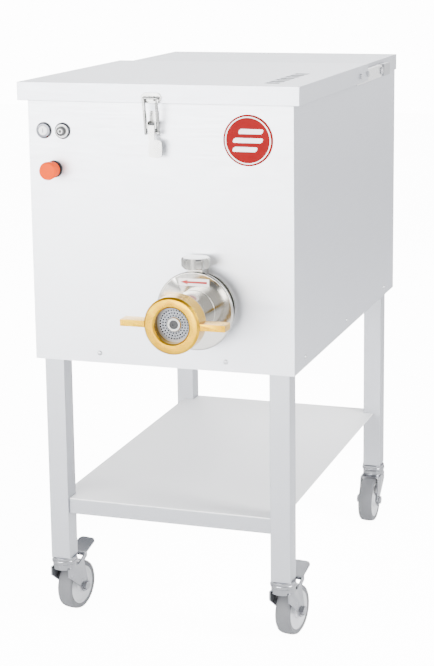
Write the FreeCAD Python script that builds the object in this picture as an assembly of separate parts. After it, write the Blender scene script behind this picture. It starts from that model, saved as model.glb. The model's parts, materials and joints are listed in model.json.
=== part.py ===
import FreeCAD
import Part

import math
import os

from FreeCAD import Vector

# Floor-standing mixer grinder, in millimetres.
# While it is modelled, X is 0 on the middle plane, Y is 0 on the cabinet's front face and grows to
# the back, and Z is 0 on the floor.  save() moves everything so that Y is 0 half-way along it.

# --- overall sizes ---------------------------------------------------------------------------
cabinet_width = 525.0
cabinet_depth = 834.0
cabinet_height = 526.0
leg_length = 415.0
castor_height = 125.0

# --- sheet metal -----------------------------------------------------------------------------
panel_sheet = 2.0
lid_sheet = 1.5
lid_overhang = 15.0
lid_rise = 15.0
lid_skirt = 35.0
lid_depth = 514.0
lid_gap = 3.0
rear_cover_drop = 4.0
rear_cover_skirt = 34.0
rear_cover_clearance = 1.5
deck_sheet = 2.0
vent_inset = 40.5
vent_width = 28.0
vent_length = 22.0
vent_pitch = 33.0
vent_start = 40.0
screw_radius = 5.0
screw_rise = 19.0
front_screw_x = 128.0
side_screw_y = (76.0, 394.0, 737.0)
rear_slot_width = 14.0
rear_slot_pitch = 30.0
rear_slot_height = 80.0

# --- stand -----------------------------------------------------------------------------------
leg_tube = 40.0
leg_wall = 2.0
leg_side_inset = 13.0
leg_front_inset = 12.0
leg_rear_inset = 27.0
brace_tube = 30.0
brace_drop = 290.0
shelf_sheet = 2.0
shelf_side_inset = 30.0
shelf_notch_clearance = 1.0
post_tube = 25.0
post_wall = 2.0
post_setback = 66.0

# --- mixing bowl -----------------------------------------------------------------------------
bowl_wall = 2.0
bowl_radius = 180.0
bowl_front = 66.0
bowl_length = 414.0
bush_radius = 22.0
bush_rim = 8.0
bush_length = 8.0
paddle_x = -10.0
paddle_drop = 216.0
paddle_reach = 166.0
paddle_shaft_radius = 14.0
paddle_blade = 26.0
paddle_blade_thickness = 6.0
paddle_arm = 20.0
paddle_end_gap = 12.0

# --- drives ----------------------------------------------------------------------------------
worm_gear_size = 110.0
worm_motor_radius = 65.0
worm_motor_length = 190.0
mixer_gear_size = 90.0
mixer_motor_radius = 52.0
mixer_motor_length = 160.0
shaft_overrun = 34.0
rotor_shaft_radius = 8.0
motor_wall = 6.0
rotor_air_gap = 6.0

# --- grinding head ---------------------------------------------------------------------------
head_x = 82.0
head_height = 124.0
flange_radius = 75.0
flange_front = 44.0
flange_thickness = 8.0
nut_front = 171.0
nut_radius = 53.0
nut_length = 40.0
nut_mouth_radius = 33.0
nut_lip = 17.0
wing_reach = 100.0
wing_thickness = 12.0
wing_depth = 30.0
barrel_radius = 40.0
worm_radius = 31.0
worm_clearance = 2.0
worm_core_radius = 15.0
worm_pitch = 46.0
knife_setback = 2.0
plate_radius = 41.0
plate_thickness = 10.0
plate_hub_radius = 13.5
plate_hole_radius = 1.5
plate_hole_pitch = 5.2
knob_radius = 28.0
knob_height = 20.0
knob_gap = 5.0
stem_radius = 6.0

# --- fits ------------------------------------------------------------------------------------
running_clearance = 0.05
seat_clearance = 0.3

# --- controls, latch and badge ---------------------------------------------------------------
button_radius = 11.0
bezel_radius = 15.0
button_drop = 77.5
start_inset = 32.0
button_pitch = 38.5
cap_radius = 9.0
palm_button_drop = 151.0
palm_base_radius = 15.0
palm_face_radius = 17.5
palm_length = 38.0
badge_inset = 86.5
badge_drop = 86.0
badge_radius = 47.5
badge_thickness = 2.0
gland_x = -150.0
gland_length = 20.0
gland_bore = 6.0
latch_x = -6.0
catch_width = 40.0
catch_height = 19.0

# --- castors ---------------------------------------------------------------------------------
wheel_radius = 50.0
wheel_width = 32.0
hub_radius = 38.0
axle_radius = 6.0
castor_trail = 40.0
fork_sheet = 3.0
fork_gap = 3.0
head_radius = 24.0
front_castor_turn = -9.0

# --- derived levels --------------------------------------------------------------------------
half_width = cabinet_width / 2
start_x = -half_width + start_inset
stop_x = start_x + button_pitch
badge_x = half_width - badge_inset
leg_bottom = castor_height
cabinet_bottom = leg_bottom + leg_length
cabinet_top = cabinet_bottom + cabinet_height
lid_top = cabinet_top + lid_rise
lid_bottom = lid_top - lid_skirt
brace_top = cabinet_bottom - brace_drop
head_z = cabinet_bottom + head_height
paddle_z = cabinet_top - paddle_drop
button_z = cabinet_top - button_drop
palm_button_z = cabinet_top - palm_button_drop
bowl_back = bowl_front + bowl_length

front_reach = nut_front
rear_reach = cabinet_depth + gland_length
frame_shift = Vector(0, (front_reach - rear_reach) / 2, 0)


# --- shape helpers ---------------------------------------------------------------------------
def box(x_range, y_range, z_range):
    low = Vector(x_range[0], y_range[0], z_range[0])
    high = Vector(x_range[1], y_range[1], z_range[1])
    size = high - low
    return Part.makeBox(size.x, size.y, size.z, low)


def rod(radius, start, end):
    start = Vector(*start)
    along = Vector(*end) - start
    return Part.makeCylinder(radius, along.Length, start, along)


def ring(outer_radius, inner_radius, start, end):
    start = Vector(*start)
    along = Vector(*end) - start
    unit = along / along.Length
    hole = Part.makeCylinder(inner_radius, along.Length + 2, start - unit, unit)
    return rod(outer_radius, start, start + along).cut(hole)


def union(shapes):
    return shapes[0].multiFuse(shapes[1:]).removeSplitter() if len(shapes) > 1 else shapes[0]


def cut_all(shape, tools):
    return shape.cut(Part.makeCompound(tools))


def turned(profile, origin, direction):
    """Solid of revolution about an axis from (radius, distance along the axis) points."""
    points = [Vector(radius, 0, along) for radius, along in profile]
    face = Part.Face(Part.makePolygon(points + [points[0]]))
    solid = face.revolve(Vector(0, 0, 0), Vector(0, 0, 1), 360)
    turn = FreeCAD.Rotation(Vector(0, 0, 1), Vector(*direction))
    solid.Placement = FreeCAD.Placement(Vector(*origin), turn)
    return solid


def plate(points, start, depth):
    """Flat piece with a polygon outline in X and Z, from Y = start over the given depth."""
    corners = [Vector(x, start, z) for x, z in points]
    return Part.Face(Part.makePolygon(corners + [corners[0]])).extrude(Vector(0, depth, 0))


def hexagon_head(across_flats, height, start, direction):
    radius = across_flats / math.sqrt(3)
    corners = [Vector(radius * math.cos(math.radians(60 * i)), radius * math.sin(math.radians(60 * i)), 0)
               for i in range(7)]
    head = Part.Face(Part.makePolygon(corners)).extrude(Vector(0, 0, height))
    turn = FreeCAD.Rotation(Vector(0, 0, 1), Vector(*direction))
    head.Placement = FreeCAD.Placement(Vector(*start), turn)
    return head


def square_tube(x_range, y_range, z_range, wall, along):
    """Hollow square tube that is open at both ends of the axis named by along."""
    ranges = {"x": x_range, "y": y_range, "z": z_range}
    inner = {axis: (low + wall, high - wall) for axis, (low, high) in ranges.items()}
    low, high = ranges[along]
    inner[along] = (low - 1, high + 1)
    return box(x_range, y_range, z_range).cut(box(inner["x"], inner["y"], inner["z"]))


def mirrored(shape):
    return shape.mirror(Vector(0, 0, 0), Vector(1, 0, 0))


def save(node, shapes):
    """Write one node: a list of separate solids, or a single solid."""
    shapes = shapes if isinstance(shapes, list) else [shapes]
    solids = [solid for shape in shapes for solid in shape.Solids]
    result = Part.makeCompound(solids) if len(solids) > 1 else solids[0]
    result.translate(frame_shift)
    result.exportStep("parts/" + node + ".step")


# --- stand: legs, braces and shelf -----------------------------------------------------------
def leg_corners():
    """Name and low X, low Y corner of each leg."""
    right = half_width - leg_side_inset - leg_tube
    left = -half_width + leg_side_inset
    rear = cabinet_depth - leg_rear_inset - leg_tube
    return {"fl": (left, leg_front_inset), "fr": (right, leg_front_inset),
            "rl": (left, rear), "rr": (right, rear)}


def make_stand():
    corners = leg_corners()
    legs = []
    for x, y in corners.values():
        tube = square_tube((x, x + leg_tube), (y, y + leg_tube), (leg_bottom, cabinet_bottom), leg_wall, "z")
        foot = box((x, x + leg_tube), (y, y + leg_tube), (leg_bottom, leg_bottom + leg_wall))
        legs.append(union([tube, foot]))
    save("legs", legs)

    inner_left = corners["fl"][0] + leg_tube
    braces = []
    for corner in ("fl", "rl"):
        low = corners[corner][1] + (leg_tube - brace_tube) / 2
        braces.append(square_tube((inner_left, -inner_left), (low, low + brace_tube),
                                  (brace_top - brace_tube, brace_top), leg_wall, "x"))
    save("braces", braces)

    edge = half_width - shelf_side_inset
    front = corners["fl"][1] + (leg_tube - brace_tube) / 2
    back = corners["rl"][1] + (leg_tube + brace_tube) / 2
    shelf = box((-edge, edge), (front, back), (brace_top, brace_top + shelf_sheet))
    gap = shelf_notch_clearance
    notches = [box((x - gap, x + leg_tube + gap), (y - gap, y + leg_tube + gap), (brace_top - 1, brace_top + 9))
               for x, y in corners.values()]
    save("shelf", cut_all(shelf, notches))


# --- cabinet: inner frame, panels and deck ---------------------------------------------------
def make_frame():
    out = half_width - panel_sheet
    front = panel_sheet
    back = cabinet_depth - panel_sheet
    low = cabinet_bottom + panel_sheet
    base = (low, low + leg_tube)
    rails = [square_tube((x, x + leg_tube), (front, back), base, leg_wall, "y") for x in (-out, out - leg_tube)]
    rails += [square_tube((-out + leg_tube, out - leg_tube), (y, y + leg_tube), base, leg_wall, "x")
              for y in (front, back - leg_tube)]
    save("base_frame", rails)

    top = (cabinet_top - post_tube, cabinet_top)
    pieces = []
    for x in (-out, out - post_tube):
        for y in (front + post_setback, back - post_tube):
            pieces.append(square_tube((x, x + post_tube), (y, y + post_tube),
                                      (base[1], top[0]), post_wall, "z"))
        pieces.append(square_tube((x, x + post_tube), (front, back), top, post_wall, "y"))
    for y in (front, back - post_tube):
        pieces.append(square_tube((-out + post_tube, out - post_tube), (y, y + post_tube), top, post_wall, "x"))
    save("inner_frame", pieces)


def make_panels():
    levels = (cabinet_bottom, cabinet_top)
    front = box((-half_width, half_width), (0, panel_sheet), levels)
    places = ((start_x, button_z), (stop_x, button_z), ((start_x + stop_x) / 2, palm_button_z))
    holes = [rod(button_radius + seat_clearance, (x, -1, level), (x, panel_sheet + 1, level))
             for x, level in places]
    holes.append(rod(barrel_radius + seat_clearance, (head_x, -1, head_z), (head_x, panel_sheet + 1, head_z)))
    save("front_panel", cut_all(front, holes))

    sides = (panel_sheet, cabinet_depth - panel_sheet)
    save("right_side_panel", box((half_width - panel_sheet, half_width), sides, levels))
    save("left_side_panel", box((-half_width, -half_width + panel_sheet), sides, levels))
    rear = box((-half_width, half_width), (cabinet_depth - panel_sheet, cabinet_depth), levels)
    slots = [box((rear_slot_pitch * i, rear_slot_pitch * i + rear_slot_width),
                 (cabinet_depth - 9, cabinet_depth + 1),
                 (head_z - rear_slot_height / 2, head_z + rear_slot_height / 2)) for i in range(-3, 4)]
    gland_hole = rod(gland_bore + 4, (gland_x, cabinet_depth - 9, head_z), (gland_x, cabinet_depth + 1, head_z))
    save("rear_panel", cut_all(rear, slots + [gland_hole]))
    inside = half_width - panel_sheet
    save("floor_pan", box((-inside, inside), sides, (cabinet_bottom, cabinet_bottom + panel_sheet)))

    opening = box((paddle_x - bowl_radius, paddle_x + bowl_radius), (bowl_front, bowl_back),
                  (cabinet_top - 9, cabinet_top + 9))
    deck = box((-half_width, half_width), (0, lid_depth), (cabinet_top, cabinet_top + deck_sheet))
    save("top_deck", deck.cut(opening))

    screws = []
    screw_z = cabinet_bottom + screw_rise
    button_head = [(0, 0), (screw_radius, 0), (screw_radius * 0.7, 2.5), (0, 3)]
    for side in (-1, 1):
        screws.append(turned(button_head, (side * front_screw_x, 0, screw_z), (0, -1, 0)))
        for y in side_screw_y:
            screws.append(turned(button_head, (side * half_width, y, screw_z), (side, 0, 0)))
    save("panel_screws", screws)


# --- mixing bowl and its paddle --------------------------------------------------------------
def bowl_body(grow, start, end):
    """Round-bottomed bowl with the worm's channel below it, grown outwards by a wall."""
    radius = bowl_radius + grow
    channel = worm_radius + worm_clearance + grow
    round_part = rod(radius, (paddle_x, start, paddle_z), (paddle_x, end, paddle_z))
    upper = box((paddle_x - radius, paddle_x + radius), (start, end), (paddle_z, cabinet_top))
    trough = rod(channel, (head_x, start, head_z), (head_x, end, head_z))
    throat = box((head_x - channel, head_x + channel), (start, end), (head_z, paddle_z))
    throat = throat.common(box((paddle_x, paddle_x + radius), (start, end), (head_z, paddle_z)))
    return union([round_part, upper, trough, throat])


def make_bowl():
    outer = bowl_body(bowl_wall, bowl_front - bowl_wall, bowl_back + bowl_wall)
    inner = bowl_body(0, bowl_front, bowl_back)
    mouth = box((paddle_x - bowl_radius, paddle_x + bowl_radius), (bowl_front, bowl_back),
                (cabinet_top - 5, cabinet_top + 5))
    front_hole = rod(worm_radius + worm_clearance, (head_x, 0, head_z), (head_x, bowl_front + 1, head_z))
    back_holes = [rod(bush_radius, (x, bowl_back - 1, z), (x, bowl_back + 9, z))
                  for x, z in ((head_x, head_z), (paddle_x, paddle_z))]
    back_holes.append(rod(bush_radius, (paddle_x, 0, paddle_z), (paddle_x, bowl_front + 1, paddle_z)))
    save("mixing_bowl", cut_all(outer, [inner, mouth, front_hole] + back_holes))

    bushes = []
    bore = paddle_shaft_radius + running_clearance
    spots = [(head_x, head_z, bowl_back), (paddle_x, paddle_z, bowl_back),
             (paddle_x, paddle_z, bowl_front - bowl_wall)]
    for x, z, y in spots:
        bushes.append(ring(bush_radius, bore, (x, y, z), (x, y + bowl_wall, z)))
        side = 1 if y > bowl_front else -1
        start = y + bowl_wall if side > 0 else y
        rim = ring(bush_radius + bush_rim, bore, (x, start, z), (x, start + side * bush_length, z))
        bushes[-1] = union([bushes[-1], rim])
    save("shaft_bushes", bushes)


def make_paddle():
    start = bowl_front - bowl_wall - bush_length
    end = bowl_back + shaft_overrun
    parts = [rod(paddle_shaft_radius, (paddle_x, start, paddle_z), (paddle_x, end, paddle_z))]
    inner = bowl_front + paddle_end_gap
    outer = bowl_back - paddle_end_gap
    half = paddle_blade_thickness / 2
    for side in (-1, 1):
        tip = paddle_x + side * paddle_reach
        blade = paddle_x + side * (paddle_reach - paddle_blade)
        parts.append(box(sorted((blade, tip)), (inner, outer), (paddle_z - half, paddle_z + half)))
        for y in (inner, (inner + outer - paddle_arm) / 2, outer - paddle_arm):
            parts.append(box(sorted((paddle_x, blade + side)), (y, y + paddle_arm),
                             (paddle_z - half, paddle_z + half)))
    save("mixing_paddle", union(parts))


# --- grinding head ---------------------------------------------------------------------------
def make_head():
    plate_front = nut_front - nut_lip
    barrel_end = plate_front - plate_thickness
    origin = (head_x, 0, head_z)
    forward = (0, -1, 0)
    bore = worm_radius + worm_clearance
    flange_back = flange_front - flange_thickness
    barrel = turned([(bore, -bowl_front + bowl_wall), (barrel_radius, -bowl_front + bowl_wall),
                     (barrel_radius, flange_back), (flange_radius - 1, flange_back),
                     (flange_radius, flange_back + 1), (flange_radius, flange_front - 2),
                     (flange_radius - 2, flange_front), (barrel_radius, flange_front),
                     (barrel_radius, barrel_end - 42), (nut_radius - 7, barrel_end - 32),
                     (nut_radius - 7, plate_front), (plate_radius + seat_clearance, plate_front),
                     (plate_radius + seat_clearance, barrel_end), (bore, barrel_end)], origin, forward)
    save("head_barrel", barrel)

    stem_y = -flange_back + stem_radius + seat_clearance
    knob_bottom = head_z + flange_radius + knob_gap
    seat = barrel_radius + seat_clearance
    socket = ring(barrel_radius + 12, seat, (head_x, -flange_back, head_z), (head_x, 0, head_z))
    collar = box((head_x - 14, head_x + 14), (-flange_back, 0), (head_z, knob_bottom - 2))
    collar = collar.cut(rod(seat, (head_x, -flange_back - 1, head_z), (head_x, 1, head_z)))
    foot = ring(flange_radius - 8, seat, (head_x, -6, head_z), (head_x, 0, head_z))
    socket = union([socket, collar, foot])
    stem_hole = rod(stem_radius + running_clearance, (head_x, stem_y, head_z + barrel_radius - 4),
                    (head_x, stem_y, knob_bottom + 1))
    save("head_socket", socket.cut(stem_hole))

    knob = rod(knob_radius, (head_x, stem_y, knob_bottom), (head_x, stem_y, knob_bottom + knob_height))
    knob = knob.makeChamfer(3, knob.Edges)
    scallops = []
    for i in range(6):
        angle = math.radians(60 * i + 30)
        x = head_x + (knob_radius + 9) * math.cos(angle)
        y = stem_y + (knob_radius + 9) * math.sin(angle)
        scallops.append(rod(14, (x, y, knob_bottom - 1), (x, y, knob_bottom + knob_height + 1)))
    stem = rod(stem_radius, (head_x, stem_y, head_z + barrel_radius + 1), (head_x, stem_y, knob_bottom + 2))
    save("clamp_knob", union([cut_all(knob, scallops), stem]))

    nut_back = nut_front - nut_length
    thread = nut_radius - 7 + running_clearance
    nut = turned([(nut_mouth_radius, plate_front + seat_clearance), (nut_mouth_radius, nut_front - 3),
                  (nut_mouth_radius + 3, nut_front), (nut_radius - 4, nut_front),
                  (nut_radius, nut_front - 4), (nut_radius, nut_back), (thread, nut_back),
                  (thread, plate_front + seat_clearance)], origin, forward)
    wings = []
    for side in (-1, 1):
        span = sorted((head_x + side * (nut_radius - 2), head_x + side * wing_reach))
        middle = -(nut_front + nut_back) / 2
        wing = box(span, (middle - wing_depth / 2, middle + wing_depth / 2),
                   (head_z - wing_thickness / 2, head_z + wing_thickness / 2))
        wings.append(wing)
    save("ring_nut", union([nut] + wings))

    outlet = turned([(0, barrel_end + seat_clearance), (plate_radius, barrel_end + seat_clearance),
                     (plate_radius, plate_front), (0, plate_front)], origin, forward)
    holes = [rod(5 + running_clearance, (head_x, 1 - plate_front - 9, head_z), (head_x, 0, head_z))]
    radius = plate_hub_radius + plate_hole_pitch / 2
    while radius + plate_hole_radius < nut_mouth_radius:
        count = int(2 * math.pi * radius / plate_hole_pitch)
        for i in range(count):
            angle = 2 * math.pi * i / count
            x = head_x + radius * math.cos(angle)
            z = head_z + radius * math.sin(angle)
            holes.append(rod(plate_hole_radius, (x, -plate_front - 1, z), (x, 0, z)))
        radius += plate_hole_pitch
    save("outlet_plate", cut_all(outlet, holes))

    knife_back = barrel_end - 12
    knife_y = (-barrel_end, -knife_back)
    reach = worm_radius - knife_setback
    blades = [box((head_x - reach, head_x + reach), knife_y, (head_z - 6, head_z + 6)),
              box((head_x - 6, head_x + 6), knife_y, (head_z - reach, head_z + reach)),
              rod(13, (head_x, -barrel_end, head_z), (head_x, -knife_back, head_z))]
    square = box((head_x - 7, head_x + 7), (-barrel_end - 1, -knife_back + 1), (head_z - 7, head_z + 7))
    save("knife", union(blades).cut(square))

    core_end = bowl_back - 4
    core = rod(worm_core_radius, (head_x, -knife_back + 0.5, head_z), (head_x, core_end, head_z))
    shaft = rod(paddle_shaft_radius, (head_x, core_end, head_z), (head_x, bowl_back + shaft_overrun, head_z))
    square = box((head_x - 6.9, head_x + 6.9), (-barrel_end + 0.5, -knife_back + 1),
                 (head_z - 6.9, head_z + 6.9))
    pin = rod(5, (head_x, 0.5 - plate_front, head_z), (head_x, -barrel_end + 1, head_z))
    turns = int((core_end + knife_back - 8) / worm_pitch)
    path = Part.makeHelix(worm_pitch, turns * worm_pitch, worm_core_radius - 2)
    rim = Part.makePolygon([Vector(worm_core_radius - 3, 0, -3.5), Vector(worm_radius, 0, -2),
                            Vector(worm_radius, 0, 2), Vector(worm_core_radius - 3, 0, 3.5),
                            Vector(worm_core_radius - 3, 0, -3.5)])
    flight = Part.Wire(path).makePipeShell([rim], True, True)
    turn = FreeCAD.Rotation(Vector(0, 0, 1), Vector(0, 1, 0))
    flight.Placement = FreeCAD.Placement(Vector(head_x, -knife_back + 6, head_z), turn)
    save("feed_worm", union([core, shaft, square, pin, flight]))

    label_y = -flange_front
    label_z = head_z + flange_radius - 20
    arrow = [(-26, 0), (-12, 4.5), (-12, 2), (26, 2), (26, -2), (-12, -2), (-12, -4.5)]
    base = box((head_x - 30, head_x + 30), (label_y - 0.6, label_y), (label_z - 7, label_z + 7))
    mark = plate([(head_x + x, label_z + z) for x, z in arrow], label_y - 0.9, 0.3)
    save("arrow_label", [base, mark])


# --- drives ----------------------------------------------------------------------------------
def make_drive(name, x, z, gear_size, motor_radius, motor_length):
    """Gearbox on the bowl's back wall, with its motor behind and the motor's rotor inside."""
    front = bowl_back + bowl_wall + bush_length + 1
    back = front + gear_size
    half = gear_size / 2
    bore = paddle_shaft_radius + running_clearance
    gearbox = box((x - half, x + half), (front, back), (z - half, z + half))
    gearbox = gearbox.makeFillet(8, [edge for edge in gearbox.Edges
                                     if abs(edge.tangentAt(edge.FirstParameter).y) > 0.9])
    pocket = rod(bore, (x, front - 1, z), (x, bowl_back + shaft_overrun + 2, z))
    save(name + "_gearbox", gearbox.cut(pocket))

    end = back + motor_length
    inside = motor_radius - motor_wall
    shell = ring(motor_radius, inside, (x, back, z), (x, end, z))
    rim = ring(motor_radius + 8, inside, (x, back, z), (x, back + 10, z))
    cap = ring(inside, rotor_shaft_radius + running_clearance, (x, end - 14, z), (x, end - 4, z))
    terminals = box((x - 30, x + 30), (back + 40, back + 110), (z + motor_radius - 8, z + motor_radius + 22))
    terminals = terminals.cut(rod(inside, (x, back, z), (x, end, z)))
    save(name + "_motor", union([shell, rim, cap, terminals]))

    rotor_radius = inside - rotor_air_gap
    shaft = rod(rotor_shaft_radius, (x, back + 2, z), (x, end - 2, z))
    stack = rod(rotor_radius, (x, back + 20, z), (x, end - 60, z))
    blade = rotor_radius - 2
    fan = [box((x - 3, x + 3), (end - 45, end - 25), (z - blade, z + blade)),
           box((x - blade, x + blade), (end - 45, end - 25), (z - 3, z + 3))]
    save(name + "_rotor", union([shaft, stack] + fan))


# --- lid, rear cover and hinges --------------------------------------------------------------
def make_covers():
    out = half_width + lid_overhang
    shell = box((-out, out), (-lid_overhang, lid_depth), (lid_bottom, lid_top))
    inner = box((-out + lid_sheet, out - lid_sheet), (-lid_overhang + lid_sheet, lid_depth - lid_sheet),
                (lid_bottom - 1, lid_top - lid_sheet))
    behind = box((-out + lid_sheet, out - lid_sheet), (lid_depth - lid_sheet - 1, lid_depth + 1),
                 (lid_bottom - 1, cabinet_top + 4))
    vent_edge = half_width - vent_inset
    slots = []
    for i in range(7):
        low = vent_start + vent_pitch * i
        slots.append(box((vent_edge - vent_width, vent_edge), (low, low + vent_length),
                         (lid_top - 9, lid_top + 1)))
    save("lid", cut_all(shell, [inner, behind] + slots))

    seal_out = bowl_radius + 16
    seal_levels = (cabinet_top + deck_sheet + seat_clearance, lid_top - lid_sheet)
    seal = box((paddle_x - seal_out, paddle_x + seal_out), (bowl_front - 16, bowl_back + 16), seal_levels)
    hollow = box((paddle_x - seal_out + 8, paddle_x + seal_out - 8), (bowl_front - 8, bowl_back + 8),
                 (cabinet_top, lid_top))
    save("lid_seal", seal.cut(hollow))

    side = half_width + rear_cover_clearance + lid_sheet
    top = lid_top - rear_cover_drop
    front = lid_depth + lid_gap
    back = cabinet_depth + rear_cover_clearance + lid_sheet
    cover = box((-side, side), (front, back), (top - rear_cover_skirt, top))
    hollow = box((-side + lid_sheet, side - lid_sheet), (front + lid_sheet, back - lid_sheet),
                 (cabinet_top, top - lid_sheet))
    below = box((-side + lid_sheet, side - lid_sheet), (front - 1, back - lid_sheet),
                (top - rear_cover_skirt - 1, cabinet_top + 0.01))
    save("rear_cover", cut_all(cover, [hollow, below]))

    pivot_y, pivot_z = hinge_pivot()
    arm_x = (half_width + 5, out - lid_sheet)
    arms, brackets, pins, bolts = [], [], [], []
    arm = box(arm_x, (lid_depth - 90, pivot_y), (pivot_z - 13, pivot_z + 13))
    arm = union([arm, rod(13, (arm_x[0], pivot_y, pivot_z), (arm_x[1], pivot_y, pivot_z))])
    arm = arm.cut(rod(6 + running_clearance, (arm_x[0] - 1, pivot_y, pivot_z), (arm_x[1] + 1, pivot_y, pivot_z)))
    bracket = box((side, out + 1), (pivot_y + 17, pivot_y + 72), (pivot_z - 13, pivot_z + 13))
    ear = box((side, arm_x[0] - seat_clearance), (pivot_y - 13, pivot_y + 18), (pivot_z - 13, pivot_z + 13))
    bracket = union([bracket, ear])
    bracket = bracket.cut(rod(6, (side - 1, pivot_y, pivot_z), (out, pivot_y, pivot_z)))
    pin = rod(6, (side, pivot_y, pivot_z), (out - lid_sheet + 0.6, pivot_y, pivot_z))
    head = rod(8, (out - lid_sheet + 0.6, pivot_y, pivot_z), (out + 2, pivot_y, pivot_z))
    for flip in (False, True):
        arms.append(mirrored(arm) if flip else arm)
        brackets.append(mirrored(bracket) if flip else bracket)
        pins.append(mirrored(union([pin, head])) if flip else union([pin, head]))
        for y in (lid_depth - 70, lid_depth - 8):
            bolt = hexagon_head(10, 4, (out, y, pivot_z + 4), (1, 0, 0))
            bolts.append(mirrored(bolt) if flip else bolt)
    save("hinge_arms", arms)
    save("hinge_brackets", brackets)
    save("hinge_pins", pins)
    save("lid_bolts", bolts)


def hinge_pivot():
    return lid_depth + 126, lid_bottom + 10


# --- latch -----------------------------------------------------------------------------------
def latch_pivots():
    """Y and Z of the lever's pin and of the bail's pin."""
    lever = (-13.0, cabinet_top - 62)
    return lever, (lever[0] - 1, lever[1] - 11)


def make_latch():
    (pin_y, pin_z), (bail_y, bail_z) = latch_pivots()
    skirt = -lid_overhang
    catch_z = lid_bottom + 10
    end = catch_height / 2
    flat = catch_width / 2 - end
    catch = union([box((latch_x - flat, latch_x + flat), (skirt - 2, skirt), (catch_z - end, catch_z + end)),
                   rod(end, (latch_x - flat, skirt - 2, catch_z), (latch_x - flat, skirt, catch_z)),
                   rod(end, (latch_x + flat, skirt - 2, catch_z), (latch_x + flat, skirt, catch_z)),
                   box((latch_x - 7, latch_x + 7), (skirt - 7, skirt - 1), (catch_z - 6, catch_z - 3)),
                   box((latch_x - 7, latch_x + 7), (skirt - 7, skirt - 5), (catch_z - 6, catch_z + 3))])
    save("latch_catch", catch)

    base = box((latch_x - 9, latch_x + 9), (-2, 0), (pin_z - 14, pin_z + 26))
    ears = [box((x, x + 2), (pin_y - 5, -1), (pin_z - 5, pin_z + 8)) for x in (latch_x - 9, latch_x + 7)]
    pin = rod(2, (latch_x - 9, pin_y, pin_z), (latch_x + 9, pin_y, pin_z))
    save("latch_base", union([base] + ears + [pin]))

    bore = 2 + running_clearance
    eye = ring(4.5, bore, (latch_x - 6, pin_y, pin_z), (latch_x + 6, pin_y, pin_z))
    web = box((latch_x - 6, latch_x + 6), (pin_y - 5, pin_y - 2.6), (pin_z - 26, pin_z + 1))
    web = web.cut(rod(bore, (latch_x - 7, pin_y, pin_z), (latch_x + 7, pin_y, pin_z)))
    tab_top = pin_z - 26
    tab = box((latch_x - 6, latch_x + 20), (pin_y - 5, pin_y - 2.6), (tab_top - 33, tab_top))
    tab = tab.makeFillet(7, [edge for edge in tab.Edges if abs(edge.tangentAt(0).y) > 0.9])
    link = box((latch_x - 6, latch_x + 6), (bail_y - 1.8, bail_y + 1.8), (bail_z - 4, pin_z - 4.2))
    across = rod(1.75, (latch_x - 15, bail_y, bail_z - 2), (latch_x + 16, bail_y, bail_z - 2))
    save("latch_lever", union([eye, web, tab, link, across]))

    bar_y = skirt - 10.5
    bar_z = catch_z
    bail = []
    hole = rod(1.75 + running_clearance, (latch_x - 17, bail_y, bail_z - 2), (latch_x + 17, bail_y, bail_z - 2))
    rise = Vector(0, bar_y - bail_y, bar_z - bail_z + 2)
    lean = FreeCAD.Rotation(Vector(0, 0, 1), rise)
    strap = box((latch_x - 13.5, latch_x - 10), (-4, 4), (0, rise.Length))
    strap.Placement = FreeCAD.Placement(Vector(0, bail_y, bail_z - 2), lean)
    foot = rod(4, (latch_x - 13.5, bail_y, bail_z - 2), (latch_x - 10, bail_y, bail_z - 2))
    coil_x = latch_x + 13
    tail = rod(4, (coil_x - 1.75, bail_y, bail_z - 2), (coil_x + 1.75, bail_y, bail_z - 2))
    spine = rod(1.6, (coil_x, bail_y, bail_z - 2), (coil_x, bar_y, bar_z))
    bail = [strap.cut(hole), foot.cut(hole), tail.cut(hole), spine.cut(hole)]
    for i in range(9):
        low = Vector(coil_x, bail_y, bail_z - 2) + rise * (0.25 + 0.07 * i)
        bail.append(rod(3.2, low, low + rise * 0.045))
    bail.append(rod(2, (latch_x - 13.5, bar_y, bar_z), (coil_x + 2, bar_y, bar_z)))
    save("latch_bail", union(bail))


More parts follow.
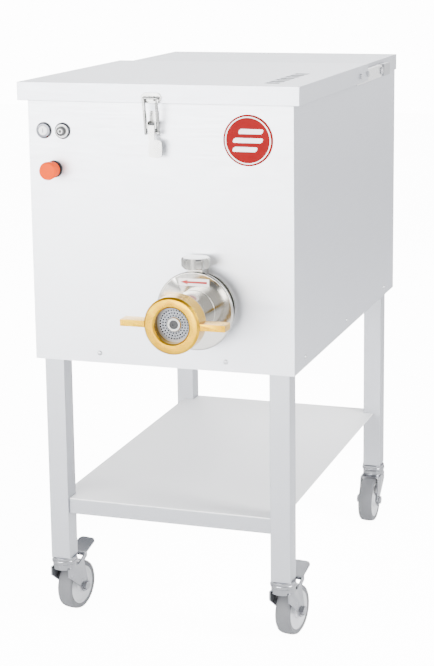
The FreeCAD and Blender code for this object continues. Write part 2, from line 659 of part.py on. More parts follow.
# --- buttons, badge and electrics ------------------------------------------------------------
def make_controls():
    z = button_z
    palm_x = (start_x + stop_x) / 2
    palm_z = palm_button_z
    out = (0, -1, 0)
    barrel = button_radius
    bezels = []
    for x in (start_x, stop_x):
        bezels.append(turned([(cap_radius, -28), (barrel, -28), (barrel, 0), (bezel_radius, 0),
                              (bezel_radius, 3), (bezel_radius - 2, 5), (cap_radius, 5)], (x, 0, z), out))
    bezels.append(turned([(cap_radius, -28), (barrel, -28), (barrel, 0), (palm_base_radius + 1.5, 0),
                          (palm_base_radius + 1.5, 4), (cap_radius, 4)], (palm_x, 0, palm_z), out))
    save("button_bezels", bezels)

    guide = cap_radius - running_clearance
    save("start_cap", turned([(0, -22), (guide, -22), (guide, 6), (0, 6.5)], (start_x, 0, z), out))
    save("stop_cap", turned([(0, -22), (guide, -22), (guide, 12), (8, 13), (0, 13)], (stop_x, 0, z), out))
    save("palm_button_cap", turned([(0, -22), (guide, -22), (guide, 8.5), (palm_base_radius, 8.5),
                                    (palm_face_radius, palm_length - 6), (palm_face_radius - 2, palm_length - 1),
                                    (0, palm_length)], (palm_x, 0, palm_z), out))
    blocks = []
    for x, level in ((start_x, z), (stop_x, z), (palm_x, palm_z)):
        block = box((x - 15, x + 15), (29, 62), (level - 20, level + 20))
        nose = ring(barrel, cap_radius + 0.5, (x, 28.3, level), (x, 29.5, level))
        blocks.append(union([block, nose]))
    save("contact_blocks", blocks)

    badge = turned([(0, 0), (badge_radius, 0), (badge_radius, badge_thickness - 0.5),
                    (badge_radius - 0.5, badge_thickness), (0, badge_thickness)],
                   (badge_x, 0, cabinet_top - badge_drop), out)
    save("badge", badge)

    inside = -half_width + panel_sheet + post_tube
    wall = cabinet_depth - panel_sheet
    save("control_box", box((inside + 3, inside + 103), (wall - 150, wall), (cabinet_top - 252, cabinet_top - 72)))
    back = cabinet_depth
    shank = gland_bore + 4 - seat_clearance
    gland = turned([(gland_bore, -14), (shank, -14), (shank, 0), (gland_bore + 9, 0), (gland_bore + 9, 8),
                    (gland_bore + 6, 9), (gland_bore + 4, gland_length), (gland_bore, gland_length)],
                   (gland_x, back, head_z), (0, 1, 0))
    save("cable_gland", gland)


# --- castors ---------------------------------------------------------------------------------
def castor_places():
    """Name, swivel axis and heading in degrees of each castor; the heading points at its wheel."""
    places = {}
    for name, (x, y) in leg_corners().items():
        heading = 90 + front_castor_turn if name in ("fl", "fr") else -90
        places[name] = (x + leg_tube / 2, y + leg_tube / 2, heading)
    return places


def make_castor(name, x, y, heading):
    """Built with its wheel towards +X, then turned to its heading about the swivel axis."""
    crown = leg_bottom - 14
    inside = wheel_width / 2 + fork_gap
    outside = inside + fork_sheet
    axle_z = wheel_radius
    bore = 10 + running_clearance
    post = ring(head_radius, bore, (0, 0, crown - 8), (0, 0, crown))
    top = box((-12, castor_trail - 2), (-outside, outside), (crown - 8 - fork_sheet, crown - 8))
    top = union([top, rod(head_radius, (0, 0, crown - 8 - fork_sheet), (0, 0, crown - 8))])
    top = top.cut(rod(bore, (0, 0, crown - 30), (0, 0, crown)))
    side_points = [(-head_radius * 0.8, crown - 8), (castor_trail - 2, crown - 8), (castor_trail + 12, axle_z),
                   (castor_trail + 4, axle_z - 13), (castor_trail - 6, axle_z - 12), (castor_trail - 14, axle_z),
                   (-head_radius * 0.8, crown - 26)]
    cheeks = [plate(side_points, low, fork_sheet) for low in (-outside, inside)]
    axle = rod(axle_radius, (castor_trail, -outside - 3, axle_z), (castor_trail, outside + 3, axle_z))
    nuts = [hexagon_head(16, 6, (castor_trail, side * outside, axle_z), (0, side, 0)) for side in (-1, 1)]
    fork = union([post, top] + cheeks + [axle] + nuts)

    tread = wheel_width / 2
    tyre = turned([(hub_radius, -tread + 2), (hub_radius + 6, -tread), (wheel_radius - 5, -tread),
                   (wheel_radius, -tread + 6), (wheel_radius, tread - 6), (wheel_radius - 5, tread),
                   (hub_radius + 6, tread), (hub_radius, tread - 2)], (castor_trail, 0, axle_z), (0, 1, 0))
    hub = turned([(axle_radius + running_clearance, -tread - 1), (14, -tread - 1), (16, -tread + 6),
                  (hub_radius - 6, -tread + 6), (hub_radius - 4, -tread + 2), (hub_radius, -tread + 2),
                  (hub_radius, tread - 2), (hub_radius - 4, tread - 2), (hub_radius - 6, tread - 6),
                  (16, tread - 6), (14, tread + 1), (axle_radius + running_clearance, tread + 1)],
                 (castor_trail, 0, axle_z), (0, 1, 0))
    pieces = {"castor_fork_" + name: [fork], "castor_wheel_" + name: [tyre, hub]}

    if name in ("fl", "fr"):
        pin_x, pin_z = castor_trail + 6, crown + 3
        reach = 48
        width = outside - 3.2
        paddle = box((0, reach), (-width, width), (-2, 1))
        paddle = paddle.makeFillet(10, [edge for edge in paddle.Edges
                                        if abs(edge.tangentAt(0).z) > 0.9 and edge.CenterOfMass.x > 1])
        paddle = union([paddle, rod(4, (0, -outside + 3, 0), (0, outside - 3, 0))])
        paddle = paddle.cut(rod(2 + running_clearance, (0, -30, 0), (0, 30, 0)))
        paddle.rotate(Vector(0, 0, 0), Vector(0, 1, 0), -22)
        paddle.translate(Vector(pin_x, 0, pin_z))
        ears = []
        for side in (-1, 1):
            low = min(side * (outside - 2.6), side * outside)
            ears.append(plate([(castor_trail - 24, crown - 9), (castor_trail - 3, crown - 9),
                               (pin_x + 4, pin_z - 4), (pin_x + 4, pin_z + 4), (pin_x - 4, pin_z + 4)], low, 2.6))
        pin = rod(2, (pin_x, -outside, pin_z), (pin_x, outside, pin_z))
        pieces["castor_fork_" + name] = [union([fork, pin] + ears)]
        pieces["brake_pedal_" + name] = [paddle]

    for node, solids in pieces.items():
        placed = []
        for solid in solids:
            solid = solid.copy()
            solid.rotate(Vector(0, 0, 0), Vector(0, 0, 1), heading)
            solid.translate(Vector(x, y, 0))
            placed.append(solid)
        save(node, placed)


def make_castors():
    stems = []
    crown = leg_bottom - 14
    for name, (x, y, heading) in castor_places().items():
        make_castor(name, x, y, heading)
        race = rod(head_radius + 1, (x, y, crown + seat_clearance), (x, y, leg_bottom))
        stem = rod(10, (x, y, crown - 8), (x, y, leg_bottom))
        stems.append(union([race, stem]))
    save("castor_stems", stems)


def main():
    os.makedirs("parts", exist_ok=True)
    make_stand()
    make_frame()
    make_panels()
    make_bowl()
    make_paddle()
    make_head()
    make_drive("worm", head_x, head_z, worm_gear_size, worm_motor_radius, worm_motor_length)
    make_drive("mixer", paddle_x, paddle_z, mixer_gear_size, mixer_motor_radius, mixer_motor_length)
    make_covers()
    make_latch()
    make_controls()
    make_castors()


main()
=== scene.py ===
import json
import math

import bmesh
import bpy
from mathutils import Matrix, Vector


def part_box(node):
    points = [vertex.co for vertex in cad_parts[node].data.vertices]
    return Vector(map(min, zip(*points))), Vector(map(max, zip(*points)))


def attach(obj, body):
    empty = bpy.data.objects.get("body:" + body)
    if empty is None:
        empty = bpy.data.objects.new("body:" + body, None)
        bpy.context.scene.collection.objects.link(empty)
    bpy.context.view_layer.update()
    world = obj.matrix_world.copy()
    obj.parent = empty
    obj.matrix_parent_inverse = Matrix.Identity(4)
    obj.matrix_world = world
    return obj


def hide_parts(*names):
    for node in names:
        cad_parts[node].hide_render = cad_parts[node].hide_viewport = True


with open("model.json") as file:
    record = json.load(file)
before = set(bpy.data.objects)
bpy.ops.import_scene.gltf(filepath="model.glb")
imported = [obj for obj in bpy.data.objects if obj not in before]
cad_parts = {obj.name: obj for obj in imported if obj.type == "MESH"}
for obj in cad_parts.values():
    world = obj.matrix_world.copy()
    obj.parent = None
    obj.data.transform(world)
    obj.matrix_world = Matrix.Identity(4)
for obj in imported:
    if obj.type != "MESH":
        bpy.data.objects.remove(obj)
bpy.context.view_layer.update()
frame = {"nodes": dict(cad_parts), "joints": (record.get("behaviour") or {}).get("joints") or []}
scene = bpy.context.scene


# --- Studio ----------------------------------------------------------------------------------
# A white cove: one pale floor that runs out to a white surround, a large soft box low in front
# on the left, a strip on the right and a fill from the back, so that steel reads as light grey.
camera_data = bpy.data.cameras.new("studio_camera")
camera_data.lens = 91.7
camera_data.shift_y = -0.1
camera = bpy.data.objects.new("studio_camera", camera_data)
scene.collection.objects.link(camera)
yaw, pitch, roll = (math.radians(angle) for angle in (18.58, 11.31, 0.72))
forward = Vector((-math.sin(yaw) * math.cos(pitch), math.cos(yaw) * math.cos(pitch), -math.sin(pitch)))
level_right = Vector((math.cos(yaw), math.sin(yaw), 0))
level_down = forward.cross(level_right)
camera_right = level_right * math.cos(roll) + level_down * math.sin(roll)
camera_up = level_right * math.sin(roll) - level_down * math.cos(roll)
turn = Matrix((camera_right, camera_up, -forward)).transposed()
camera.matrix_world = Matrix.Translation((1.102, -3.284, 1.363)) @ turn.to_4x4()
scene.camera = camera


def linear(hex_colour):
    """sRGB hex to the linear colour that a shader takes."""
    values = [int(hex_colour[i:i + 2], 16) / 255 for i in (1, 3, 5)]
    return [v / 12.92 if v <= 0.04045 else ((v + 0.055) / 1.055) ** 2.4 for v in values] + [1]


def add_node(tree, kind, inputs=None, **settings):
    """Add one node; an input is a value or another node's socket."""
    node = tree.nodes.new(kind)
    for name, value in settings.items():
        setattr(node, name, value)
    for name, value in (inputs or {}).items():
        if isinstance(value, bpy.types.NodeSocket):
            tree.links.new(value, node.inputs[name])
        else:
            node.inputs[name].default_value = value
    return node


def new_material(name, colour, roughness, metallic=0.0):
    material = bpy.data.materials.new(name)
    material.use_nodes = True
    shader = material.node_tree.nodes["Principled BSDF"]
    shader.inputs["Base Color"].default_value = linear(colour)
    shader.inputs["Roughness"].default_value = roughness
    shader.inputs["Metallic"].default_value = metallic
    return material, material.node_tree, shader


def area_light(name, place, target, size, watts):
    data = bpy.data.lights.new(name, "AREA")
    data.shape = "RECTANGLE"
    data.size, data.size_y = size
    data.energy = watts
    light = bpy.data.objects.new(name, data)
    light.location = place
    light.rotation_euler = (Vector(target) - Vector(place)).to_track_quat("-Z", "Y").to_euler()
    scene.collection.objects.link(light)


area_light("key_box", (-1.3, -3.6, 1.2), (0, -0.2, 0.6), (2.8, 1.8), 230)
area_light("side_strip", (3.0, -0.6, 2.2), (0, 0, 0.6), (1.0, 2.4), 190)
area_light("back_fill", (-0.8, 3.0, 2.6), (0, 0.2, 0.6), (2.4, 1.6), 60)

world = bpy.data.worlds.new("white_cove")
world.use_nodes = True
scene.world = world
world_tree = world.node_tree
world_shader = world_tree.nodes["Background"]
direction = add_node(world_tree, "ShaderNodeTexCoord").outputs["Generated"]
height = add_node(world_tree, "ShaderNodeSeparateXYZ", {"Vector": direction}).outputs["Z"]
cove = add_node(world_tree, "ShaderNodeValToRGB", {"Fac": height})
cove.color_ramp.elements[0].color = linear("#FFFFFF")
cove.color_ramp.elements[0].position = 0.25
cove.color_ramp.elements[1].position = 0.85
cove.color_ramp.elements[1].color = linear("#8E9197")
world_tree.links.new(cove.outputs["Color"], world_shader.inputs["Color"])
world_shader.inputs["Strength"].default_value = 2.2
backdrop_glow = 14.0
floor_glow = 12.0
backdrop = add_node(world_tree, "ShaderNodeBackground", {"Color": linear("#FFFFFF"), "Strength": backdrop_glow})
seen = add_node(world_tree, "ShaderNodeLightPath").outputs["Is Camera Ray"]
surround = add_node(world_tree, "ShaderNodeMixShader", {"Fac": seen})
world_tree.links.new(world_shader.outputs["Background"], surround.inputs[1])
world_tree.links.new(backdrop.outputs["Background"], surround.inputs[2])
world_tree.links.new(surround.outputs["Shader"], world_tree.nodes["World Output"].inputs["Surface"])

floor_mesh = bmesh.new()
bmesh.ops.create_grid(floor_mesh, x_segments=8, y_segments=8, size=9)
floor_data = bpy.data.meshes.new("studio_floor")
floor_mesh.to_mesh(floor_data)
floor_mesh.free()
studio_floor = bpy.data.objects.new("studio_floor", floor_data)
scene.collection.objects.link(studio_floor)
cove_paint, tree, shader = new_material("cove_paint", "#FFFFFF", 0.9)
shader.inputs["Emission Color"].default_value = linear("#FFFFFF")
seen = add_node(tree, "ShaderNodeLightPath").outputs["Is Camera Ray"]
lift = add_node(tree, "ShaderNodeMath", {0: seen, 1: floor_glow}, operation="MULTIPLY")
tree.links.new(lift.outputs["Value"], shader.inputs["Emission Strength"])
floor_data.materials.append(cove_paint)


# --- Stand: legs and braces ------------------------------------------------------------------
# Square stainless tube, 40 mm for the legs and 30 mm for the braces, cold drawn and belt ground
# along its length, with the small outside radius that rolled tube has and TIG-welded joints.
def grained_steel(name, colour, roughness, grain_mm, along, bump=0.04, drift=0.06):
    """Ground stainless: fine lines along one axis, and a slow drift in tone from the rolling."""
    material, tree, shader = new_material(name, colour, roughness, 1.0)
    place = add_node(tree, "ShaderNodeTexCoord").outputs["Object"]
    across = 1000 / grain_mm
    scale = [across, across, across]
    scale["xyz".index(along)] = across / 60
    lines = add_node(tree, "ShaderNodeVectorMath", {0: place, 1: scale}, operation="MULTIPLY")
    grain = add_node(tree, "ShaderNodeTexNoise", {"Vector": lines.outputs[0], "Scale": 1.0, "Detail": 4.0})
    spread = add_node(tree, "ShaderNodeMapRange", {"Value": grain.outputs["Fac"], "From Min": 0.3,
                                                   "From Max": 0.7, "To Min": roughness - drift,
                                                   "To Max": roughness + drift})
    tree.links.new(spread.outputs["Result"], shader.inputs["Roughness"])
    rolling = add_node(tree, "ShaderNodeTexNoise", {"Vector": place, "Scale": 3.0, "Detail": 2.0})
    tone = add_node(tree, "ShaderNodeMapRange", {"Value": rolling.outputs["Fac"], "To Min": 0.95,
                                                 "To Max": 1.0})
    mix = add_node(tree, "ShaderNodeMix", {"Factor": 1.0}, data_type="RGBA", blend_type="MULTIPLY")
    mix.inputs[6].default_value = linear(colour)
    tree.links.new(tone.outputs["Result"], mix.inputs[7])
    tree.links.new(mix.outputs[2], shader.inputs["Base Color"])
    relief = add_node(tree, "ShaderNodeBump", {"Height": grain.outputs["Fac"], "Strength": bump,
                                               "Distance": 0.0004})
    tree.links.new(relief.outputs["Normal"], shader.inputs["Normal"])
    return material


def finished(node, body, material, edge_mm, segments=3, sharp=35):
    """The bench-made version of a plain node: edges broken or bent to a radius, and smooth."""
    source = frame["nodes"][node]
    mesh = bmesh.new()
    mesh.from_mesh(source.data)
    bmesh.ops.remove_doubles(mesh, verts=mesh.verts, dist=1e-6)
    bmesh.ops.dissolve_limit(mesh, angle_limit=math.radians(0.5), verts=mesh.verts, edges=mesh.edges)
    data = bpy.data.meshes.new(node + "_finished")
    mesh.to_mesh(data)
    mesh.free()
    data.materials.clear()
    data.materials.append(material)
    piece = bpy.data.objects.new(node + "_finished", data)
    scene.collection.objects.link(piece)
    bevel = piece.modifiers.new("edge_radius", "BEVEL")
    bevel.width = edge_mm / 1000
    bevel.segments = segments
    bevel.limit_method = "ANGLE"
    bevel.angle_limit = math.radians(sharp)
    bevel.harden_normals = True
    data.shade_smooth()
    data.set_sharp_from_angle(angle=math.radians(sharp))
    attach(piece, body)
    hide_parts(node)
    return piece


# grain lines are really about 0.1 mm apart; they are drawn at 0.8 mm so that they show
tube_steel = grained_steel("stainless_tube_belt_ground", "#B9BBC0", 0.42, 0.8, "z")
rail_steel = grained_steel("stainless_tube_belt_ground_across", "#B4B6BB", 0.42, 0.8, "x")
finished("legs", "cabinet", tube_steel, 2.0)
finished("braces", "cabinet", rail_steel, 1.5)
finished("base_frame", "cabinet", rail_steel, 1.5)
finished("inner_frame", "cabinet", rail_steel, 1.5)


# --- Shelf and cabinet panels ----------------------------------------------------------------
# Austenitic stainless sheet, 2 mm, satin ground before folding: it throws back the room as a soft
# light grey with a faint grain, and its cut edges are broken to about half a millimetre.  The shelf
# is duller and paler, so it is only partly metallic.
shelf_steel = grained_steel("stainless_shelf_satin", "#FFFFFF", 0.5, 0.9, "y")
# The front panel and top deck are painted lighter and the side, rear and floor panels darker: painted light and
# painted shade on the same sheet.
lit_front_steel = grained_steel("stainless_sheet_satin_painted_lit_front", "#E2E4E9", 0.44, 0.9, "x")
shaded_side_steel = grained_steel("stainless_sheet_satin_painted_shade_side", "#CDCFD5", 0.44, 0.9, "y")
shelf_steel.node_tree.nodes["Principled BSDF"].inputs["Metallic"].default_value = 0.15
finished("shelf", "cabinet", shelf_steel, 0.4)
for node, steel in (("front_panel", lit_front_steel), ("left_side_panel", shaded_side_steel),
                    ("right_side_panel", shaded_side_steel), ("rear_panel", shaded_side_steel),
                    ("floor_pan", shaded_side_steel), ("top_deck", lit_front_steel)):
    finished(node, "cabinet", steel, 0.5)


# --- Fixing screws ---------------------------------------------------------------------------
# Low domed M6 screws in turned stainless steel, driven through the sheet into the base frame:
# a little brighter than the panels.
def turned_steel(name, colour, roughness, ring_mm, bump=0.05):
    """Lathe-turned metal: bright, with very fine tool marks and faint finger-height smudges."""
    material, tree, shader = new_material(name, colour, roughness, 1.0)
    place = add_node(tree, "ShaderNodeTexCoord").outputs["Object"]
    marks = add_node(tree, "ShaderNodeTexNoise", {"Vector": place, "Scale": 1000 / ring_mm, "Detail": 3.0})
    smudge = add_node(tree, "ShaderNodeTexNoise", {"Vector": place, "Scale": 22.0, "Detail": 3.0})
    gloss = add_node(tree, "ShaderNodeMapRange", {"Value": smudge.outputs["Fac"], "From Min": 0.35,
                                                  "From Max": 0.65, "To Min": roughness * 0.8,
                                                  "To Max": roughness * 1.4})
    tree.links.new(gloss.outputs["Result"], shader.inputs["Roughness"])
    relief = add_node(tree, "ShaderNodeBump", {"Height": marks.outputs["Fac"], "Strength": bump,
                                               "Distance": 0.0003})
    tree.links.new(relief.outputs["Normal"], shader.inputs["Normal"])
    return material


polished_steel = turned_steel("stainless_turned_polished", "#B5B3AE", 0.13, 1.5)
screw_steel = turned_steel("stainless_screw_bright", "#B9BABD", 0.28, 1.0)
finished("panel_screws", "cabinet", screw_steel, 0.4)
finished("lid_bolts", "lid_assembly", screw_steel, 0.5)


# --- Lid, rear cover and hinges --------------------------------------------------------------
# The lid is one 1.5 mm satin sheet folded down on four sides, with seven punched air slots, and
# swings on two bright flat arms; the rear cover is the same sheet, screwed over the drives.
lid_steel = grained_steel("stainless_lid_satin", "#CFD1D7", 0.42, 0.9, "x")
# The rear cover is painted a shade darker than the lid: painted shade on the same sheet.
shaded_cover_steel = grained_steel("stainless_cover_satin_painted_shade", "#C6C8CE", 0.42, 0.9, "x")
arm_steel = grained_steel("stainless_flat_bar_ground", "#E9E9EA", 0.3, 0.6, "y")
bracket_steel = grained_steel("stainless_block_milled", "#A9AAAE", 0.35, 0.6, "z")
finished("lid", "lid_assembly", lid_steel, 0.7)
finished("rear_cover", "cabinet", shaded_cover_steel, 0.7)
finished("hinge_arms", "lid_assembly", arm_steel, 0.8)
finished("hinge_brackets", "cabinet", bracket_steel, 0.8)
finished("hinge_pins", "cabinet", screw_steel, 0.6)


def place_mesh(name, mesh, centre, axis, material, sharp=35):
    """Turn a mesh from +Z to the axis, move it to its centre and make it a piece."""
    turn = Vector((0, 0, 1)).rotation_difference(Vector(axis)).to_matrix().to_4x4()
    mesh.transform(Matrix.Translation(centre) @ turn)
    data = bpy.data.meshes.new(name)
    mesh.to_mesh(data)
    mesh.free()
    data.materials.append(material)
    data.shade_smooth()
    data.set_sharp_from_angle(angle=math.radians(sharp))
    piece = bpy.data.objects.new(name, data)
    scene.collection.objects.link(piece)
    return piece


# A near-black sheet just under the lid's air slots is painted shade: it darkens what shows through the slots.
vent_shade_black, tree, shader = new_material("painted_shade_sheet_under_vent_slots", "#1C1C1F", 0.7)
lid_low, lid_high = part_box("lid")
shade_sheet_size = (0.036, 0.236, 0.0012)
shade_sheet_x = 0.208
shade_sheet_back = 0.163
shade_sheet_depth = 0.0022
shade_sheet = bmesh.new()
bmesh.ops.create_cube(shade_sheet, size=1, matrix=Matrix.Diagonal((*shade_sheet_size, 1)))
bmesh.ops.bevel(shade_sheet, geom=shade_sheet.edges[:], offset=0.0004, segments=2, affect="EDGES")
slot_middle = (shade_sheet_x, lid_low[1] + shade_sheet_back, lid_high[2] - shade_sheet_depth)
vent_shade_sheet = place_mesh("vent_shade_sheet", shade_sheet, slot_middle, (0, 0, 1), vent_shade_black)
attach(vent_shade_sheet, "lid_assembly")

silicone, tree, shader = new_material("silicone_seal_moulded", "#EDEDEB", 0.55)
finished("lid_seal", "lid_assembly", silicone, 1.5)


# --- Mixing bowl, paddle and shafts ----------------------------------------------------------
# Food-grade stainless: the bowl is rolled sheet ground inside, the paddle is flat bar welded to
# its shaft, and the bushes in the bowl's ends are black acetal.
bowl_steel = grained_steel("stainless_bowl_ground", "#D8D9DC", 0.36, 0.9, "y")
paddle_steel = turned_steel("stainless_paddle_brushed", "#CFCFD0", 0.28, 1.2)
acetal, tree, shader = new_material("acetal_turned_black", "#26272A", 0.45)
finished("mixing_bowl", "cabinet", bowl_steel, 0.4)
finished("mixing_paddle", "mixing_paddle", paddle_steel, 1.0)
finished("shaft_bushes", "cabinet", acetal, 0.8)


# --- Grinding head ---------------------------------------------------------------------------
# Stainless casting, turned and polished all over, with the flange that closes the socket, the
# lobed clamp knob above it and the ground tool-steel worm, knife and perforated plate inside.
finished("head_barrel", "cabinet", polished_steel, 0.8)
finished("head_socket", "cabinet", polished_steel, 1.0)
finished("clamp_knob", "clamp_knob", polished_steel, 1.6)
tool_steel = turned_steel("tool_steel_ground", "#A7A8AB", 0.34, 0.9)
plate_steel = turned_steel("plate_steel_ground", "#77797D", 0.4, 0.8, 0.15)
finished("feed_worm", "feed_screw", tool_steel, 0.3)
finished("knife", "feed_screw", tool_steel, 0.6)
finished("outlet_plate", "cabinet", plate_steel, 0.3)


def revolve(name, profile, centre, axis, material, steps=64):
    """Mesh turned about an axis from (radius, distance) points in metres."""
    mesh = bmesh.new()
    rows = []
    for radius, along in profile:
        if radius < 1e-6:
            rows.append([mesh.verts.new((0, 0, along))])
        else:
            rows.append([mesh.verts.new((radius * math.cos(2 * math.pi * i / steps),
                                         radius * math.sin(2 * math.pi * i / steps), along))
                         for i in range(steps)])
    for low, high in zip(rows, rows[1:]):
        for i in range(steps):
            j = (i + 1) % steps
            corners = [low[i % len(low)], low[j % len(low)], high[j % len(high)], high[i % len(high)]]
            unique = list(dict.fromkeys(corners))
            if len(unique) > 2:
                mesh.faces.new(unique)
    bmesh.ops.recalc_face_normals(mesh, faces=mesh.faces)
    return place_mesh(name, mesh, centre, axis, material)


mouth_low, mouth_high = (Vector(corner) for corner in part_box("outlet_plate"))
plate_centre = Vector(((mouth_low.x + mouth_high.x) / 2, mouth_low.y, (mouth_low.z + mouth_high.z) / 2))
hub = revolve("plate_hub", [(0.0085, -0.001), (0.0085, 0.0026), (0.0120, 0.0026), (0.0135, 0.001),
                            (0.0135, -0.001)], plate_centre, (0, -1, 0), polished_steel)
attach(hub, "cabinet")
# The end bolt is a real part, but its near-black is painted shade of the recess round the worm's pin in the
# middle of the plate.
recess_shade_dark, tree, shader = new_material("painted_recess_shade_black", "#1E1F21", 0.4)
end_bolt = revolve("worm_end_bolt", [(0, 0.0001), (0.0078, 0.0001), (0.0078, 0.0016), (0.0072, 0.0022),
                                     (0.0030, 0.0022), (0.0026, 0.0010), (0, 0.0010)],
                   plate_centre, (0, -1, 0), recess_shade_dark)
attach(end_bolt, "feed_screw")


# --- Brass ring nut --------------------------------------------------------------------------
# Cast gunmetal, turned on the face and rim and polished to a warm yellow gold; two flat wings
# are cast on for the spanner, and their edges stay rounder than the turned ones.
brass, tree, shader = new_material("gunmetal_turned_polished", "#C79A12", 0.22, 1.0)
place = add_node(tree, "ShaderNodeTexCoord").outputs["Object"]
patina = add_node(tree, "ShaderNodeTexNoise", {"Vector": place, "Scale": 26.0, "Detail": 5.0})
gold = add_node(tree, "ShaderNodeValToRGB", {"Fac": patina.outputs["Fac"]})
gold.color_ramp.elements[0].position = 0.3
gold.color_ramp.elements[0].color = linear("#B88606")
gold.color_ramp.elements[1].position = 0.72
gold.color_ramp.elements[1].color = linear("#DBAE1C")
tree.links.new(gold.outputs["Color"], shader.inputs["Base Color"])
tool_marks = add_node(tree, "ShaderNodeTexNoise", {"Vector": place, "Scale": 900.0, "Detail": 2.0})
dull = add_node(tree, "ShaderNodeMapRange", {"Value": patina.outputs["Fac"], "To Min": 0.16, "To Max": 0.34})
tree.links.new(dull.outputs["Result"], shader.inputs["Roughness"])
relief = add_node(tree, "ShaderNodeBump", {"Height": tool_marks.outputs["Fac"], "Strength": 0.06,
                                           "Distance": 0.0003})
tree.links.new(relief.outputs["Normal"], shader.inputs["Normal"])
finished("ring_nut", "ring_nut", brass, 1.6, 4)


# --- Direction label -------------------------------------------------------------------------
# White polyester film with a printed red arrow that shows which way to turn the clamp.
film, tree, shader = new_material("polyester_label_white", "#FBF6F4", 0.35)
red_ink, tree, shader = new_material("screen_ink_red", "#A81410", 0.4)
label = finished("arrow_label", "cabinet", film, 0.1, 1)
label.data.materials.append(red_ink)
label_front = min(vertex.co.y for vertex in label.data.vertices)
for polygon in label.data.polygons:
    corners = [label.data.vertices[index].co for index in polygon.vertices]
    if all(corner.y < label_front + 0.0002 for corner in corners):
        polygon.material_index = 1


# --- Push buttons ----------------------------------------------------------------------------
# Two 22 mm push buttons with chromed bezels over black gaskets: a flush white one marked with a
# bar and a raised black one marked with a ring.  Their caps are injection-moulded gloss plastic.
def moulded(name, colour, roughness, grain_mm=1.2, bump=0.05):
    """Injection-moulded plastic: even colour, soft gloss and a very slight orange peel."""
    material, tree, shader = new_material(name, colour, roughness)
    place = add_node(tree, "ShaderNodeTexCoord").outputs["Object"]
    peel = add_node(tree, "ShaderNodeTexNoise", {"Vector": place, "Scale": 1000 / grain_mm, "Detail": 2.0})
    relief = add_node(tree, "ShaderNodeBump", {"Height": peel.outputs["Fac"], "Strength": bump,
                                               "Distance": 0.0002})
    tree.links.new(relief.outputs["Normal"], shader.inputs["Normal"])
    return material


def centre_of(node):
    low, high = (Vector(corner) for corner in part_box(node))
    return (low + high) / 2


white_abs = moulded("abs_moulded_white", "#F3F3F3", 0.3)
black_abs = moulded("abs_moulded_black", "#17181A", 0.25)
gasket_black = moulded("rubber_gasket_black", "#2A2A2C", 0.7)
bezel_chrome = turned_steel("bezel_chromed", "#66676C", 0.2, 1.5)
forward_y = (0, -1, 0)
face_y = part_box("front_panel")[0][1]
bezels = finished("button_bezels", "cabinet", bezel_chrome, 0.5)
bezels.data.materials.append(gasket_black)
palm_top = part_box("palm_button_cap")[1][2] + 0.002
for polygon in bezels.data.polygons:
    if polygon.center.z < palm_top:
        polygon.material_index = 1
finished("start_cap", "start_button", white_abs, 0.8)
finished("stop_cap", "stop_button", black_abs, 1.0)
gasket_outline = [(0.0149, 0), (0.0158, 0), (0.0158, 0.0012), (0.0149, 0.0012), (0.0149, 0)]
for node in ("start_cap", "stop_cap"):
    middle = centre_of(node)
    gasket = revolve(node + "_gasket", gasket_outline,
                     (middle.x, face_y, middle.z), forward_y, gasket_black)
    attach(gasket, "cabinet")
stop_middle = centre_of("stop_cap")
collar = revolve("stop_collar", [(0.0092, 0.0048), (0.0092, 0.0056), (0.0128, 0.0052), (0.0128, 0.0045)],
                 (stop_middle.x, face_y, stop_middle.z), forward_y, white_abs)
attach(collar, "cabinet")

start_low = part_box("start_cap")[0]
start_middle = centre_of("start_cap")
grey_ink = moulded("pad_ink_grey", "#8D8F94", 0.4)
bar = bmesh.new()
bmesh.ops.create_cube(bar, size=1, matrix=Matrix.Diagonal((0.0016, 0.008, 0.0003, 1)))
bmesh.ops.bevel(bar, geom=bar.edges[:], offset=0.0001, segments=2, affect="EDGES")
start_mark = place_mesh("start_mark", bar, (start_middle.x, start_low[1] + 0.0001, start_middle.z), forward_y,
                        grey_ink)
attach(start_mark, "start_button")
stop_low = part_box("stop_cap")[0]
stop_mark = revolve("stop_mark", [(0.0032, -0.0002), (0.0032, 0.0002), (0.0046, 0.0002), (0.0046, -0.0002)],
                    (stop_middle.x, stop_low[1], stop_middle.z), forward_y, white_abs, 48)
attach(stop_mark, "stop_button")

# The large palm button is orange-red acetal, flared towards its face, in a black collar.
orange = moulded("acetal_moulded_orange", "#DC4600", 0.6, 1.4, 0.06)
orange.node_tree.nodes["Principled BSDF"].inputs["Specular IOR Level"].default_value = 0.1
finished("palm_button_cap", "palm_button", orange, 0.4, 3, 20)
finished("contact_blocks", "cabinet", black_abs, 1.0)


# --- Badge -----------------------------------------------------------------------------------
# A round plate 95 mm across, satin red print on anodised aluminium, with a thin white ring
# and three plain slanted bars.
badge_red, tree, shader = new_material("satin_print_red", "#7C0000", 0.45)
place = add_node(tree, "ShaderNodeTexCoord").outputs["Object"]
mottle = add_node(tree, "ShaderNodeTexNoise", {"Vector": place, "Scale": 60.0, "Detail": 2.0})
print_red = add_node(tree, "ShaderNodeValToRGB", {"Fac": mottle.outputs["Fac"]})
print_red.color_ramp.elements[0].color = linear("#740000")
print_red.color_ramp.elements[1].color = linear("#840003")
tree.links.new(print_red.outputs["Color"], shader.inputs["Base Color"])
shader.inputs["Specular IOR Level"].default_value = 0.08
print_white = moulded("gloss_print_white", "#FAFAFA", 0.3)
finished("badge", "cabinet", badge_red, 0.4)
badge_low, badge_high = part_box("badge")
badge_middle = centre_of("badge")
badge_radius = (badge_high[0] - badge_low[0]) / 2
badge_face = (badge_middle.x, badge_low[1], badge_middle.z)
ring_out = badge_radius - 0.0035
ring_mark = revolve("badge_ring", [(ring_out - 0.0022, -0.0002), (ring_out - 0.0022, 0.0003),
                                   (ring_out, 0.0003), (ring_out, -0.0002)], badge_face, forward_y,
                    print_white, 96)
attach(ring_mark, "cabinet")
bar_pitch = 0.0165
bar_rise = 0.0045
bar_lean = 0.0018
bar_thickness = 0.0005
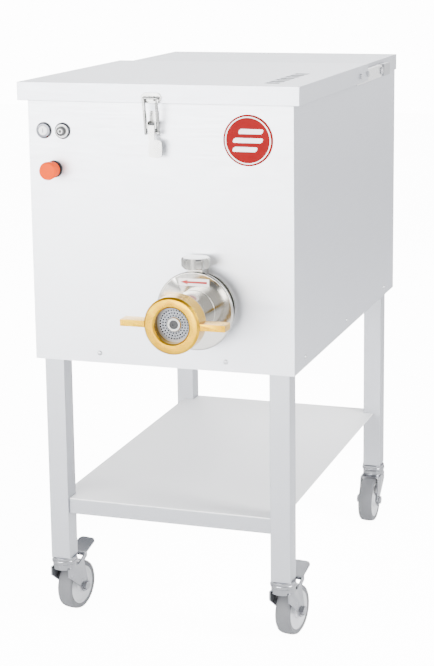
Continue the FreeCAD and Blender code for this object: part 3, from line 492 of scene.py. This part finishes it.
for index, width in enumerate((0.046, 0.056, 0.046)):
    bar = bmesh.new()
    level = (1 - index) * bar_pitch
    corners = [(-width / 2 + level * 0.35 + lean, level + rise)
               for lean, rise in ((-bar_lean, -bar_rise), (width - bar_lean, -bar_rise),
                                  (width + bar_lean, bar_rise), (bar_lean, bar_rise))]
    face = bar.faces.new([bar.verts.new((badge_face[0] + x, badge_face[1] + 0.0002, badge_face[2] + z))
                          for x, z in corners])
    front = bmesh.ops.extrude_face_region(bar, geom=[face])["geom"]
    bmesh.ops.translate(bar, verts=[v for v in front if isinstance(v, bmesh.types.BMVert)],
                        vec=(0, -bar_thickness, 0))
    bmesh.ops.recalc_face_normals(bar, faces=bar.faces)
    bmesh.ops.bevel(bar, geom=[e for e in bar.edges if abs((e.verts[0].co - e.verts[1].co).y) > 1e-4],
                    offset=0.0018, segments=5, affect="EDGES")
    stripe = place_mesh("badge_bar_%d" % (index + 1), bar, (0, 0, 0), (0, 0, 1), print_white)
    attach(stripe, "cabinet")


# --- Latch -----------------------------------------------------------------------------------
# A draw latch pressed and bent from bright stainless strip, with a coil spring on one leg of its
# bail, a riveted catch plate on the lid and a rounded finger tab at the bottom.
latch_steel = turned_steel("stainless_strip_bright", "#A9A9A7", 0.24, 1.0)
finished("latch_catch", "lid_assembly", latch_steel, 0.4)
finished("latch_base", "cabinet", latch_steel, 0.3)
finished("latch_lever", "latch_lever", latch_steel, 0.5)
finished("latch_bail", "latch_bail", latch_steel, 0.3)
catch_low, catch_high = (Vector(corner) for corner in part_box("latch_catch"))
catch_middle = (catch_low + catch_high) / 2
for side in (-1, 1):
    rivet = revolve("catch_rivet_left" if side < 0 else "catch_rivet_right",
                    [(0.0032, -0.0004), (0.003, 0.0006), (0.002, 0.0013), (0, 0.0016)],
                    (catch_middle.x + side * 0.0125, catch_high.y - 0.002, catch_middle.z), forward_y,
                    latch_steel, 24)
    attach(rivet, "lid_assembly")


# --- Castors ---------------------------------------------------------------------------------
# 100 mm swivel castors: forks and pedals pressed from steel and bright zinc plated, a grey
# thermoplastic rubber tread moulded round a light grey nylon centre, and a hexagon axle bolt.
zinc = turned_steel("steel_pressed_zinc_bright", "#96979B", 0.2, 2.5, 0.12)
tread_rubber = moulded("rubber_tread_moulded_grey", "#66676A", 0.6, 1.8, 0.25)
nylon = moulded("nylon_moulded_light_grey", "#C4C5C8", 0.42, 2.0, 0.12)
finished("castor_stems", "cabinet", zinc, 1.0)
race_outline = [(0.012, 0), (0.0240, 0), (0.0258, 0.0022), (0.0262, 0.0048), (0.0252, 0.0072),
                (0.0228, 0.0088), (0.0228, 0.0102), (0.0240, 0.0112), (0.0240, 0.0126), (0.012, 0.0126),
                (0.012, 0)]
stems_low, stems_high = (Vector(corner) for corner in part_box("castor_stems"))
race_radius = 0.025
race_bottom = 0.1122
tread_half = [(0.038, 0.0138), (0.0425, 0.0156), (0.0455, 0.0158), (0.0482, 0.0138), (0.0495, 0.0095),
              (0.05, 0.004)]
tread_outline = tread_half + [(radius, -along) for radius, along in reversed(tread_half)] + [tread_half[0]]
dish_half = [(0.0062, 0.0168), (0.0135, 0.0168), (0.0150, 0.0150), (0.0165, 0.0110), (0.0315, 0.0098),
             (0.0345, 0.0112), (0.0362, 0.0138), (0.0382, 0.0141)]
dish_outline = dish_half + [(radius, -along) for radius, along in reversed(dish_half)] + [dish_half[0]]
rollers = {joint["name"][-2:]: joint for joint in frame["joints"] if joint["name"].startswith("wheel_roll")}
for corner, joint in rollers.items():
    wheel_body = "castor_wheel_" + corner
    centre = centre_of(wheel_body)
    tyre = revolve("tyre_" + corner, tread_outline, centre, joint["axis"], tread_rubber, 96)
    disc = revolve("wheel_disc_" + corner, dish_outline, centre, joint["axis"], nylon, 96)
    for piece, slot in ((tyre, "grey_rubber"), (disc, "grey_rubber")):
        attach(piece, wheel_body)
        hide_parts(wheel_body)
    finished("castor_fork_" + corner, "castor_fork_" + corner, zinc, 0.9)
    x = stems_low.x + race_radius if corner[1] == "l" else stems_high.x - race_radius
    y = stems_low.y + race_radius if corner[0] == "f" else stems_high.y - race_radius
    race = revolve("swivel_race_" + corner, race_outline, (x, y, race_bottom), (0, 0, 1), zinc, 64)
    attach(race, "cabinet")
for corner in ("fl", "fr"):
    finished("brake_pedal_" + corner, "brake_pedal_" + corner, zinc, 0.9)


# --- Drives and electrics --------------------------------------------------------------------
# Cast aluminium gear cases and motor frames in blue-grey hammer paint, a moulded grey control
# box, and a black nylon gland in the back for the supply lead.
hammer_paint = moulded("cast_aluminium_hammer_painted", "#6F7C89", 0.45, 3.5, 0.4)
rotor_steel = turned_steel("laminated_steel_stack", "#8B8C90", 0.4, 0.8, 0.2)
grey_box = moulded("polycarbonate_moulded_grey", "#B4B6BA", 0.4, 1.6, 0.15)
nylon_black = moulded("nylon_moulded_black", "#222326", 0.45, 1.2, 0.15)
for drive in ("worm", "mixer"):
    finished(drive + "_gearbox", "cabinet", hammer_paint, 2.0)
    finished(drive + "_motor", "cabinet", hammer_paint, 1.5)
    finished(drive + "_rotor", drive + "_rotor", rotor_steel, 0.6)
finished("control_box", "cabinet", grey_box, 4.0)
finished("cable_gland", "cabinet", nylon_black, 0.6)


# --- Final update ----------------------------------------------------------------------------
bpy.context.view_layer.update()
